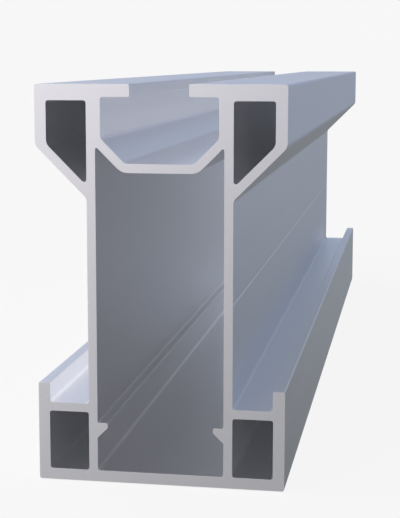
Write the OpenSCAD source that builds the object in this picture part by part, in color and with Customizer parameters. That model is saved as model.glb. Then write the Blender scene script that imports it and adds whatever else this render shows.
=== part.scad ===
// Solar mounting rail: a sawn length of hollow aluminium extrusion.
//
// One piece of stock with the same section from end to end. Two upright webs join a head,
// which carries the slotted bolt channel between two hollow flanges, to a wide foot with a
// hollow box and an upstanding lip at each side. The rail stands on its foot at z = 0, runs
// along Y, and its origin is under the middle of its length. All sizes are in millimetres.

/* [Rail] */
// Length of the sawn rail
rail_length = 258; // [40:1:6000]
// Width over the head flanges, and over the foot
rail_width = 50; // [45:0.5:70]
// Height from the underside of the foot to the top of the head
rail_height = 80; // [66:0.5:160]
// Thickness of the webs, the ledges, the channel floor and every slanted wall
wall = 1.8; // [1.2:0.1:2.6]
// Width over the outer faces of the two webs
body_width = 29.2; // [27:0.2:34]

/* [Bolt channel] */
// Clear width of the slot between the two lips
slot_width = 11.8; // [6:0.1:16]
// Thickness of the lips that the bolt head pulls against
lip_thickness = 2.5; // [1.5:0.1:4]
// Clear width of the channel under the lips
channel_width = 23.5; // [20:0.1:25]
// Depth of the channel from the top of the head down to its floor
channel_depth = 15.5; // [12:0.1:22]
// Width of the flat channel floor between its two 45 degree sides
channel_floor_width = 13.6; // [8:0.1:18]
// Round in the channel, where its sides turn into the slants and the slants into the floor
channel_radius = 1.5; // [0.1:0.1:3]
// Round under the channel, where the floor's underside turns up the slants
saddle_radius = 3.3; // [0.5:0.1:5]
// Fillet in the core's sharp upper corners, between the webs and the slants
wedge_radius = 0.3; // [0.1:0.05:0.6]

/* [Head flanges] */
// Height of each flange's upright outer face
flange_height = 12; // [8:0.1:16]
// Thickness of each flange's upright outer wall
flange_wall = 2.3; // [1.5:0.1:3.5]
// Thickness of the head's top plate over the flange chambers
top_plate = 3.2; // [2:0.1:5]
// Round on the outside where the upright face turns into the slant
flange_turn = 2; // [0.5:0.1:4]
// Round inside the chamber, where its upright side turns into the slant
chamber_turn = 2; // [0.5:0.1:4]
// Round in the corner where the slant runs into the web
slant_fillet = 1.5; // [0.2:0.1:3]

/* [Foot] */
// Thickness of the foot's bottom plate
foot_plate = 2.3; // [1.5:0.1:4]
// Thickness of the foot boxes' outer walls
foot_wall = 2.3; // [1.5:0.1:4]
// Height of the ledges on top of the foot boxes
ledge_height = 16.1; // [10:0.1:24]
// Height that the side lips stand above the ledges
foot_lip_height = 4; // [1:0.1:10]
// Thickness of the side lips
foot_lip_thickness = 2.4; // [1.5:0.1:4]

/* [Splice barbs] */
// Reach of each barb from the web into the core
barb_reach = 2.1; // [0.5:0.1:4]
// Height of the barbs' flat upper side above the underside of the foot
barb_top = 12.2; // [9:0.1:30]
// Height of the barbs' blunt tip, before the underside slopes back at 45 degrees
barb_tip = 1; // [0.5:0.1:2]

/* [Drill line] */
// Height of the fine groove on each web's outer face
line_height = 37; // [30:0.1:44]
// Depth of the groove, which is cut at 45 degrees on both sides
line_depth = 0.15; // [0.1:0.05:0.4]

/* [Edges] */
// Round on the outer edges and in the plain inside corners
edge_radius = 0.5; // [0.1:0.1:0.9]
// Round on the free edges of the slot's lips and of the foot's lips
lip_radius = 0.3; // [0.1:0.05:0.7]
// Round in the corners of the chambers
chamber_radius = 0.5; // [0.1:0.1:1]
// Angle that one facet of a rounded corner turns through, in degrees
arc_step = 11.25; // [5:0.25:22.5]

/* [Hidden] */

// Half widths, from the rail's middle plane
rail_x = rail_width / 2;
web_x = body_width / 2;
core_x = web_x - wall;
slot_x = slot_width / 2;
channel_x = channel_width / 2;
channel_floor_x = channel_floor_width / 2;
flange_chamber_x = rail_x - flange_wall;
foot_chamber_x = rail_x - foot_wall;
foot_lip_x = rail_x - foot_lip_thickness;
barb_x = core_x - barb_reach;

// Heights, from the underside of the foot
lip_z = rail_height - lip_thickness;
channel_floor_z = rail_height - channel_depth;
channel_side_z = channel_floor_z + (channel_x - channel_floor_x);
flange_z = rail_height - flange_height;
flange_root_z = flange_z - (rail_x - web_x);
flange_chamber_z = rail_height - top_plate;
foot_chamber_z = ledge_height - wall;
foot_lip_z = ledge_height + foot_lip_height;
barb_tip_z = barb_top - barb_tip;
barb_root_z = barb_tip_z - barb_reach;

// How far a 45 degree wall's far face lies from its near one, measured level or plumb
slant_wall = wall * sqrt(2);
core_top_z = channel_floor_z - wall;
saddle_x = channel_floor_x + slant_wall - wall;
core_side_z = core_top_z + (core_x - saddle_x);
chamber_side_z = flange_z + slant_wall - flange_wall;
chamber_tip_z = chamber_side_z - (flange_chamber_x - web_x);

// Unit vector along a given one
function unit(v) = v / norm(v);

// Turn of a direction, wrapped to between -180 and 180 degrees
function wrapped(angle) = angle > 180 ? angle - 360 : angle < -180 ? angle + 360 : angle;

// Points of the arc that rounds one corner of an outline between its two neighbours
function corner_arc(before, corner, after, radius) =
    let(
        to_before = unit(before - corner),
        to_after = unit(after - corner),
        half_angle = acos(to_before * to_after) / 2,
        centre = corner + unit(to_before + to_after) * radius / sin(half_angle),
        tangent = radius / tan(half_angle),
        first = corner + to_before * tangent - centre,
        last = corner + to_after * tangent - centre,
        start = atan2(first[1], first[0]),
        turn = wrapped(atan2(last[1], last[0]) - start),
        steps = max(1, ceil(abs(turn) / arc_step))
    )
    [for (i = [0:steps]) centre + radius * [cos(start + turn * i / steps), sin(start + turn * i / steps)]];

// A closed outline from corners given as [x, z, radius], where a radius of 0 stays sharp
function rounded(corners) =
    let(
        count = len(corners),
        places = [for (c = corners) [c[0], c[1]]]
    )
    [
        for (i = [0:count - 1])
            each corners[i][2] == 0
                ? [places[i]]
                : corner_arc(places[(i + count - 1) % count], places[i], places[(i + 1) % count], corners[i][2])
    ];

// Corners of the right half of a symmetric outline, joined to their mirror images
function both_halves(half) =
    concat(half, [for (i = [len(half) - 1:-1:0]) [-half[i][0], half[i][1], half[i][2]]]);

// The outside of the section, from the channel floor over the head and down to the foot
module outside() {
    polygon(rounded(both_halves([
        [channel_floor_x, channel_floor_z, channel_radius],
        [channel_x, channel_side_z, channel_radius],
        [channel_x, lip_z, edge_radius],
        [slot_x, lip_z, lip_radius],
        [slot_x, rail_height, lip_radius],
        [rail_x, rail_height, edge_radius],
        [rail_x, flange_z, flange_turn],
        [web_x, flange_root_z, slant_fillet],
        [web_x, line_height + line_depth, 0],
        [web_x - line_depth, line_height, 0],
        [web_x, line_height - line_depth, 0],
        [web_x, ledge_height, edge_radius],
        [foot_lip_x, ledge_height, edge_radius],
        [foot_lip_x, foot_lip_z, lip_radius],
        [rail_x, foot_lip_z, lip_radius],
        [rail_x, 0, edge_radius]
    ])));
}

// The core between the webs, with its saddle top and the two splice barbs
module core() {
    polygon(rounded(both_halves([
        [saddle_x, core_top_z, saddle_radius],
        [core_x, core_side_z, wedge_radius],
        [core_x, barb_top, barb_tip / 3],
        [barb_x, barb_top, barb_tip / 3],
        [barb_x, barb_tip_z, barb_tip / 3],
        [core_x, barb_root_z, barb_tip / 3],
        [core_x, foot_plate, chamber_radius]
    ])));
}

// The hollow of the right head flange
module flange_chamber() {
    polygon(rounded([
        [web_x, flange_chamber_z, chamber_radius],
        [flange_chamber_x, flange_chamber_z, chamber_radius],
        [flange_chamber_x, chamber_side_z, chamber_turn],
        [web_x, chamber_tip_z, chamber_radius]
    ]));
}

// The hollow of the right foot box
module foot_chamber() {
    polygon(rounded([
        [web_x, foot_plate, chamber_radius],
        [foot_chamber_x, foot_plate, chamber_radius],
        [foot_chamber_x, foot_chamber_z, chamber_radius],
        [web_x, foot_chamber_z, chamber_radius]
    ]));
}

// The full section, drawn with x across the rail and y up it
module section() {
    difference() {
        outside();
        core();
        for (side = [0, 1]) {
            mirror([side, 0, 0]) {
                flange_chamber();
                foot_chamber();
            }
        }
    }
}

// The whole length of extrusion
module rail() {
    color([0.78, 0.78, 0.82])
        rotate([90, 0, 0])
            linear_extrude(height = rail_length, center = true)
                section();
}

rail();
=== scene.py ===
import math

import bmesh
import bpy
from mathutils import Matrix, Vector


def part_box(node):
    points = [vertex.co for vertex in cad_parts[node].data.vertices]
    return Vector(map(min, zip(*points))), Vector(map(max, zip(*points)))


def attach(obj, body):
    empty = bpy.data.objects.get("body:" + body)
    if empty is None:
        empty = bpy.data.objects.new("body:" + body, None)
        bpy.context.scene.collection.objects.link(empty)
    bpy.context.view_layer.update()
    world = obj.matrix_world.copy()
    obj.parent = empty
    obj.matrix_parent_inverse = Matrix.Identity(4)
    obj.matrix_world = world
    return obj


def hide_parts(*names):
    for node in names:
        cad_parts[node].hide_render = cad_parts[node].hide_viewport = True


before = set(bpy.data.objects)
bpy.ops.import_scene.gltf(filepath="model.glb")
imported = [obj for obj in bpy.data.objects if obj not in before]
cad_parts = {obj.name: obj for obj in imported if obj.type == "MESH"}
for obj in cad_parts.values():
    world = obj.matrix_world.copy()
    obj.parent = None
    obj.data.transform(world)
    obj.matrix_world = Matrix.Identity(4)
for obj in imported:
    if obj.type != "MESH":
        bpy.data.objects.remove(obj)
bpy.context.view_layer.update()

# ---------------------------------------------------------------- Rail
# One length of hollow aluminium extrusion, drawn through a die and clear anodised to a satin
# grey. It is sawn square at both ends, and the sawn edges are broken with a file.

rail_low, rail_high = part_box("rail")
SAME_PLACE = 0.000001  # metres within which two points are one
FILED_EDGE = 0.00002  # metres that the file takes off each sawn edge
FILED_MIDDLE = 0.3  # share of the filed edge's depth at which its round is half way
SHARP_TURN = math.radians(25)  # a fold steeper than this keeps a hard line
CHAMBER_WIDTH = 0.01  # metres that no chamber of the flanges and the foot is wider than
CORE_WIDTH = 0.04  # metres that the core is narrower than, and the outer outline wider
TIGHT_FACET = 0.0002  # metres that no facet of a tight round is wider than
SLIGHT_TURN = 0.01  # sine of a turn too slight to be one of a round's
CHANNEL_REACH = 0.0125  # metres right of the middle that the bolt channel's inside ends within
SIDE_REACH = 0.024  # metres right of the middle that only the sides of head and foot reach past
FOOT_HEIGHT = 0.03  # metres that the foot is lower than
FACES_DOWN = 0.5  # cosine off straight down that a flange's underside faces within
# The warm and cool skins among these finishes are painted reflections, tinted into the metal's colour.
SKIN, SAWN, CORE, CHAMBER, OUTER_FOLD_HIGHLIGHT, INNER_FOLD_PAINTED_LIGHT, WARM_PAINTED_REFLECTION, COOL_PAINTED_REFLECTION = range(8)  # finishes' places


def end_outlines(mesh, end_y):
    """Closed outlines, as lists of (x, z), that bound the solid's sawn face at end_y."""
    solid = bmesh.new()
    solid.from_mesh(mesh)
    bmesh.ops.remove_doubles(solid, verts=solid.verts, dist=SAME_PLACE)
    solid.normal_update()
    on_end = set()
    for face in solid.faces:
        if all(abs(vert.co.y - end_y) < SAME_PLACE for vert in face.verts):
            on_end.add(face)
    after = {}
    for face in solid.faces:
        for loop in face.loops:
            if face in on_end and any(other not in on_end for other in loop.edge.link_faces):
                after[loop.vert] = loop.link_loop_next.vert
    outlines = []
    while after:
        vert = next(iter(after))
        outline = []
        while vert in after:
            outline.append((vert.co.x, vert.co.z))
            vert = after.pop(vert)
        outlines.append(outline)
    solid.free()
    return outlines


def drawn_in(outline, depth):
    """The outline moved by depth into the metal, which lies on the left as it is walked."""
    moved = []
    for i, (x, z) in enumerate(outline):
        before = Vector(outline[i - 1])
        here = Vector((x, z))
        after = Vector(outline[(i + 1) % len(outline)])
        first = (here - before).normalized()
        second = (after - here).normalized()
        left = Vector((-first.y, first.x)) + Vector((-second.y, second.x))
        moved.append(here + left * depth * 2 / left.length_squared)
    return moved


def in_tight_fold(outline, i):
    """Whether the outline's edge after point i lies in a tight round, where two walls fold in."""
    before, here = Vector(outline[i - 1]), Vector(outline[i])
    there, after = [Vector(outline[(i + step) % len(outline)]) for step in (1, 2)]
    along = (there - here).normalized()
    first_turn = (here - before).normalized().cross(along)
    last_turn = along.cross((after - there).normalized())
    return (there - here).length < TIGHT_FACET and max(first_turn, last_turn) < -SLIGHT_TURN


def outer_skin(outline, i):
    """The skin on the outer outline's edge after point i, told by where it is and faces: plain, or
    tinted as a painted warm or cool reflection.
    """
    here = Vector(outline[i])
    there = Vector(outline[(i + 1) % len(outline)])
    underside = here.x > CHANNEL_REACH and (there - here).normalized().x > FACES_DOWN
    on_side = min(here.x, there.x) > SIDE_REACH
    if underside or (on_side and here.y < FOOT_HEIGHT):
        return WARM_PAINTED_REFLECTION
    return COOL_PAINTED_REFLECTION if on_side else SKIN


def wall_finish(outline, i):
    """The finish of the wall on the outline's edge after point i, told by what it goes round."""
    across = [x for x, z in outline]
    width = max(across) - min(across)
    folded = in_tight_fold(outline, i)
    if width > CORE_WIDTH:
        return OUTER_FOLD_HIGHLIGHT if folded else outer_skin(outline, i)
    if folded:
        return INNER_FOLD_PAINTED_LIGHT
    return CHAMBER if width < CHAMBER_WIDTH else CORE


def sawn_extrusion(name, outlines, low_y, high_y, filed):
    """A mesh drawn along Y through closed outlines, with its sawn edges rounded by a file."""
    middle = FILED_MIDDLE * filed
    stations = [(low_y, filed), (low_y + middle, middle), (low_y + filed, 0.0)]
    stations += [(low_y + high_y - y, inset) for y, inset in reversed(stations)]
    body = bmesh.new()
    end_edges = [[], []]
    for outline in outlines:
        finishes = [wall_finish(outline, i) for i in range(len(outline))]
        rings = []
        for y, inset in stations:
            rings.append([body.verts.new((x, y, z)) for x, z in drawn_in(outline, inset)])
        for near, far in zip(rings, rings[1:]):
            for i in range(len(near)):
                k = (i + 1) % len(near)
                wall = body.faces.new((near[k], near[i], far[i], far[k]))
                wall.smooth = True
                wall.material_index = finishes[i]
        for edges, ring in zip(end_edges, (rings[0], rings[-1])):
            edges += [body.edges.get((ring[i - 1], ring[i])) for i in range(len(ring))]
    for edges, facing in zip(end_edges, (-1, 1)):
        filled = bmesh.ops.triangle_fill(body, use_beauty=True, edges=edges, normal=(0, facing, 0))
        for face in filled["geom"]:
            if isinstance(face, bmesh.types.BMFace):
                face.material_index = SAWN
                if face.normal.y * facing < 0:
                    face.normal_flip()
    bmesh.ops.recalc_face_normals(body, faces=body.faces)
    for edge in body.edges:
        edge.smooth = edge.calc_face_angle(0.0) < SHARP_TURN
    mesh = bpy.data.meshes.new(name)
    body.to_mesh(mesh)
    body.free()
    return mesh


def metal(name):
    """A metal material, and the nodes and links that its finish is wired with."""
    finish = bpy.data.materials.new(name)
    finish.use_nodes = True
    finish.node_tree.nodes["Principled BSDF"].inputs["Metallic"].default_value = 1
    return finish, finish.node_tree.nodes, finish.node_tree.links


DIE_LINES = (0.0004, 0.15)  # metres across and along the fine lines that the die leaves
FLOW_BANDS = (0.006, 0.4)  # metres across and along the broad bands of the metal's flow
SAW_PIVOT = (-0.13, 0, -0.09)  # the point that the saw's arcs go round, in metres
TOOTH_MARK = 0.0003  # metres across one of those arcs
MARK_DETAIL = 3  # finer marks within the marks, each half as wide as the last
MARK_RANGE = (0.25, 0.75)  # a mark's strength from its faintest to its strongest
SHADE_STOPS = (0.3, 0.7)  # a mark's strength where the dull shade ends and the bright one begins


def lines_along(nodes, links, size):
    """Uneven lines that run along the rail, so many metres across and so many metres long."""
    across, along = size
    place = nodes.new("ShaderNodeTexCoord")
    stretch = nodes.new("ShaderNodeMapping")
    stretch.inputs["Scale"].default_value = (1 / across, 1 / along, 1 / across)
    lines = nodes.new("ShaderNodeTexNoise")
    lines.inputs["Scale"].default_value = 1
    lines.inputs["Detail"].default_value = MARK_DETAIL
    links.new(place.outputs["Object"], stretch.inputs["Vector"])
    links.new(stretch.outputs["Vector"], lines.inputs["Vector"])
    return lines.outputs["Fac"]


def arcs_about(nodes, links, centre, across):
    """Uneven arcs round a point beyond the rail, so many metres across, as a saw blade leaves them."""
    place = nodes.new("ShaderNodeTexCoord")
    radius = nodes.new("ShaderNodeVectorMath")
    radius.operation = "DISTANCE"
    radius.inputs[1].default_value = centre
    arcs = nodes.new("ShaderNodeTexNoise")
    arcs.noise_dimensions = "1D"
    arcs.inputs["Scale"].default_value = 1 / across
    arcs.inputs["Detail"].default_value = MARK_DETAIL
    links.new(place.outputs["Object"], radius.inputs[0])
    links.new(radius.outputs["Value"], arcs.inputs["W"])
    return arcs.outputs["Fac"]


def vary(nodes, links, marks, socket, low, high):
    """The marks drive one of the shader's numbers between two limits."""
    limits = nodes.new("ShaderNodeMapRange")
    limits.inputs["From Min"].default_value = MARK_RANGE[0]
    limits.inputs["From Max"].default_value = MARK_RANGE[1]
    limits.inputs["To Min"].default_value = low
    limits.inputs["To Max"].default_value = high
    links.new(marks, limits.inputs["Value"])
    links.new(limits.outputs["Result"], nodes["Principled BSDF"].inputs[socket])


def tint(nodes, links, marks, dull, bright):
    """The marks blend the metal's colour between a dull and a bright shade."""
    shades = nodes.new("ShaderNodeValToRGB")
    for stop, position, shade in zip(shades.color_ramp.elements, SHADE_STOPS, (dull, bright)):
        stop.position = position
        stop.color = (*shade, 1)
    links.new(marks, shades.inputs["Fac"])
    links.new(shades.outputs["Color"], nodes["Principled BSDF"].inputs["Base Color"])


def scratch(nodes, links, marks, depth):
    """The marks stand out of the surface by so many metres."""
    relief = nodes.new("ShaderNodeBump")
    relief.inputs["Distance"].default_value = depth
    links.new(marks, relief.inputs["Height"])
    links.new(relief.outputs["Normal"], nodes["Principled BSDF"].inputs["Normal"])


def anodised_skin(name, dull, bright):
    """Satin anodising over the fine lines of the die and the broad bands of the metal's flow."""
    finish, nodes, links = metal(name)
    die_lines = lines_along(nodes, links, DIE_LINES)
    flow_bands = lines_along(nodes, links, FLOW_BANDS)
    vary(nodes, links, flow_bands, "Roughness", 0.37, 0.43)
    tint(nodes, links, flow_bands, dull, bright)
    scratch(nodes, links, die_lines, 0.000008)
    return finish


def core_wall():
    """The skin inside the core, which the mandrel leaves a little smoother and duller."""
    finish, nodes, links = metal("core_wall")
    die_lines = lines_along(nodes, links, DIE_LINES)
    flow_bands = lines_along(nodes, links, FLOW_BANDS)
    vary(nodes, links, flow_bands, "Roughness", 0.34, 0.37)
    tint(nodes, links, flow_bands, (0.884, 0.879, 0.874), (0.904, 0.899, 0.894))
    scratch(nodes, links, die_lines, 0.000006)
    return finish


def chamber_wall():
    """The skin inside the chambers, as smooth as the core's and a little brighter."""
    finish, nodes, links = metal("chamber_wall")
    die_lines = lines_along(nodes, links, DIE_LINES)
    flow_bands = lines_along(nodes, links, FLOW_BANDS)
    vary(nodes, links, flow_bands, "Roughness", 0.34, 0.36)
    tint(nodes, links, flow_bands, (0.92, 0.92, 0.92), (0.935, 0.935, 0.935))
    scratch(nodes, links, die_lines, 0.000002)
    return finish


def outer_fold_painted_highlight():
    """The skin in the tight folds between two outer walls: matter, and painted brighter as a painted
    highlight along each fold.
    """
    finish, nodes, links = metal("outer_fold_painted_highlight")
    flow_bands = lines_along(nodes, links, FLOW_BANDS)
    vary(nodes, links, flow_bands, "Roughness", 0.5, 0.54)
    tint(nodes, links, flow_bands, (0.975, 0.975, 0.975), (0.99, 0.99, 0.99))
    return finish


def inner_fold_painted_light():
    """The same folds inside the core and the chambers, nearly as smooth as the walls there, and
    painted brighter to lift the shade in these creases: painted light.
    """
    finish, nodes, links = metal("inner_fold_painted_light")
    flow_bands = lines_along(nodes, links, FLOW_BANDS)
    vary(nodes, links, flow_bands, "Roughness", 0.36, 0.39)
    tint(nodes, links, flow_bands, (0.97, 0.97, 0.97), (0.985, 0.985, 0.985))
    return finish


def sawn_face():
    """Bare metal, brighter than the skin, with the shallow arcs that the saw's teeth left."""
    finish, nodes, links = metal("sawn_face")
    tooth_marks = arcs_about(nodes, links, SAW_PIVOT, TOOTH_MARK)
    vary(nodes, links, tooth_marks, "Roughness", 0.28, 0.32)
    tint(nodes, links, tooth_marks, (0.9, 0.9, 0.9), (0.92, 0.92, 0.92))
    scratch(nodes, links, tooth_marks, 0.0000006)
    return finish


die_outlines = end_outlines(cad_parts["rail"].data, rail_low.y)
rail_mesh = sawn_extrusion("rail_extrusion", die_outlines, rail_low.y, rail_high.y, FILED_EDGE)
rail = bpy.data.objects.new("rail_extrusion", rail_mesh)
bpy.context.scene.collection.objects.link(rail)

# The skin is tinted a shade warmer on the foot's right side and under the right flange, and a shade
# cooler on the head's right side. Both tints are painted reflections.
finishes = [
    anodised_skin("anodised_skin", (0.892, 0.892, 0.892), (0.928, 0.928, 0.928)),
    sawn_face(),
    core_wall(),
    chamber_wall(),
    outer_fold_painted_highlight(),
    inner_fold_painted_light(),
    anodised_skin("skin_painted_warm_reflection", (0.928, 0.911, 0.85), (0.966, 0.948, 0.885)),
    anodised_skin("skin_painted_cool_reflection", (0.887, 0.892, 0.932), (0.923, 0.928, 0.97)),
]
for finish in finishes:
    rail_mesh.materials.append(finish)
weighted = rail.modifiers.new("even_shading", "WEIGHTED_NORMAL")
weighted.keep_sharp = True
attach(rail, "root")
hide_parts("rail")

# ---------------------------------------------------------------- Floor
# A plain studio floor, painted pale and lit evenly. It sweeps up into its backdrop all round, so
# that no horizon shows, and lies a hair below the rail's foot.

FLOOR_REACH = 3.0  # metres from the middle to where the sweep begins
SWEEP = 1.5  # metres of the sweep's radius
RIM_TOP = 4.5  # metres that the backdrop stands high
FLOOR_DROP = 0.0003  # metres that the floor lies below the foot
FLOOR_SEAM = 0.00001  # metres within which the floor's seam closes
SWEEP_STEPS = 16
ROUND_STEPS = 96


def swept_floor():
    """A round floor whose rim turns up through a quarter circle into a low wall."""
    profile = [(0.0, 0.0), (FLOOR_REACH, 0.0)]
    for step in range(1, SWEEP_STEPS + 1):
        angle = math.radians(90 * step / SWEEP_STEPS)
        profile.append((FLOOR_REACH + SWEEP * math.sin(angle), SWEEP * (1 - math.cos(angle))))
    profile.append((FLOOR_REACH + SWEEP, RIM_TOP))
    sheet = bmesh.new()
    verts = [sheet.verts.new((r, 0, z - FLOOR_DROP)) for r, z in profile]
    edges = [sheet.edges.new(pair) for pair in zip(verts, verts[1:])]
    bmesh.ops.spin(
        sheet,
        geom=verts + edges,
        cent=(0, 0, 0),
        axis=(0, 0, 1),
        angle=2 * math.pi,
        steps=ROUND_STEPS,
        use_merge=True,
    )
    bmesh.ops.remove_doubles(sheet, verts=sheet.verts, dist=FLOOR_SEAM)
    bmesh.ops.recalc_face_normals(sheet, faces=sheet.faces)
    mesh = bpy.data.meshes.new("studio_floor")
    for face in sheet.faces:
        face.smooth = True
    sheet.to_mesh(mesh)
    sheet.free()
    return mesh


floor = bpy.data.objects.new("studio_floor", swept_floor())
bpy.context.scene.collection.objects.link(floor)
pale = bpy.data.materials.new("pale_paint")
pale.use_nodes = True
paint = pale.node_tree.nodes["Principled BSDF"]
paint.inputs["Base Color"].default_value = (0.06, 0.06, 0.06, 1)
paint.inputs["Roughness"].default_value = 1
paint.inputs["Specular IOR Level"].default_value = 0
paint.inputs["Emission Color"].default_value = (1, 0.998, 0.99, 1)
paint.inputs["Emission Strength"].default_value = 0.887
floor.data.materials.append(pale)
floor.visible_diffuse = False
floor.visible_glossy = False
floor.visible_shadow = False

# ---------------------------------------------------------------- Light
# Plain soft studio light, all of it far off and without edges: a big white glow at the left of
# the rail, a high strip, weak glows ahead, at the right, at the back and from below, and a dim room.

LOW_SHADE = (0.06, 0.058, 0.053)
LEVEL_SHADE = (0.089, 0.086, 0.084)
HIGH_SHADE = (0.123, 0.179, 0.325)
GLOW_FADE = (0.4, 0.95)  # a glow fades out between these cosines from its middle


def dim_room(shades):
    """A world whose colour runs with height, from straight down at -1 to straight up at 1."""
    room = bpy.data.worlds.new("dim_room")
    room.use_nodes = True
    nodes = room.node_tree.nodes
    links = room.node_tree.links
    direction = nodes.new("ShaderNodeTexCoord")
    height = nodes.new("ShaderNodeSeparateXYZ")
    spread = nodes.new("ShaderNodeMapRange")
    spread.inputs["From Min"].default_value = -1
    ramp = nodes.new("ShaderNodeValToRGB")
    stops = ramp.color_ramp.elements
    while len(stops) < len(shades):
        stops.new(0.5)
    for stop, (z, shade) in zip(stops, shades.items()):
        stop.position = (z + 1) / 2
        stop.color = (*shade, 1)
    links.new(direction.outputs["Generated"], height.inputs["Vector"])
    links.new(height.outputs["Z"], spread.inputs["Value"])
    links.new(spread.outputs["Result"], ramp.inputs["Fac"])
    links.new(ramp.outputs["Color"], nodes["Background"].inputs["Color"])
    return room


def soft_glow(room, turn, lift, width, height, colour):
    """Adds a glow, turned right from straight ahead and lifted in degrees, and stretched both ways."""
    nodes = room.node_tree.nodes
    links = room.node_tree.links
    direction = nodes.new("ShaderNodeTexCoord")
    facing = nodes.new("ShaderNodeMapping")
    facing.vector_type = "TEXTURE"
    facing.inputs["Rotation"].default_value = (math.radians(lift), 0, math.radians(-turn))
    facing.inputs["Scale"].default_value = (width, 1, height)
    unit = nodes.new("ShaderNodeVectorMath")
    unit.operation = "NORMALIZE"
    nearness = nodes.new("ShaderNodeSeparateXYZ")
    fade = nodes.new("ShaderNodeMapRange")
    fade.interpolation_type = "SMOOTHSTEP"
    fade.inputs["From Min"].default_value = GLOW_FADE[0]
    fade.inputs["From Max"].default_value = GLOW_FADE[1]
    added = nodes.new("ShaderNodeVectorMath")
    added.operation = "MULTIPLY_ADD"
    added.inputs[1].default_value = colour
    links.new(direction.outputs["Generated"], facing.inputs["Vector"])
    links.new(facing.outputs["Vector"], unit.inputs[0])
    links.new(unit.outputs["Vector"], nearness.inputs["Vector"])
    links.new(nearness.outputs["Y"], fade.inputs["Value"])
    links.new(fade.outputs["Result"], added.inputs[0])
    background = nodes["Background"].inputs["Color"]
    links.new(background.links[0].from_socket, added.inputs[2])
    links.new(added.outputs["Vector"], background)


room = dim_room({-1: LOW_SHADE, 0: LEVEL_SHADE, 1: HIGH_SHADE})
bpy.context.scene.world = room
soft_glow(room, -110, 31, 2, 1.26, (0.989, 0.945, 1.002))  # the big white one at the left
soft_glow(room, -102, 60, 2.6, 0.24, (0.758, 0.748, 0.767))  # the high strip
soft_glow(room, -7, 7.5, 0.65, 0.38, (0.35, 0.408, 0.518))  # ahead
soft_glow(room, 106, 11, 2.3, 0.85, (0.114, 0.146, 0.189))  # at the right
soft_glow(room, 138, -14, 8, 1.13, (0.206, 0.21, 0.227))  # low at the back
soft_glow(room, 180, -68, 1.6, 0.7, (0.2, 0.2, 0.205))  # steeply below, in front

# Light goes to and fro many times inside the hollows, and keeps its satin sharpness there.
ray_paths = bpy.context.scene.cycles
ray_paths.max_bounces = 32
ray_paths.glossy_bounces = 32
ray_paths.blur_glossy = 0

# ---------------------------------------------------------------- Camera
# It stands at the rail's front right, a little above its head, and looks along the rail, down
# and to the left. The shift frames the rail.

CAMERA_RIGHT = 0.04997  # metres right of the rail's middle
CAMERA_BACK = 0.25126  # metres in front of the rail's front end
CAMERA_HEIGHT = 0.08488  # metres above the floor
LOOK_DOWN = 7.991  # degrees
LOOK_LEFT = 10.057  # degrees

camera_data = bpy.data.cameras.new("camera")
camera = bpy.data.objects.new("camera", camera_data)
bpy.context.scene.collection.objects.link(camera)
camera_data.sensor_width = 36
camera_data.lens = 91.74
camera_data.shift_x = 0.0259
camera_data.shift_y = -0.0293
camera_data.clip_start = 0.01
camera.location = (CAMERA_RIGHT, rail_low.y - CAMERA_BACK, CAMERA_HEIGHT)
camera.rotation_euler = (math.radians(90 - LOOK_DOWN), 0, math.radians(LOOK_LEFT))
bpy.context.scene.camera = camera
bpy.context.scene.view_settings.view_transform = "Standard"
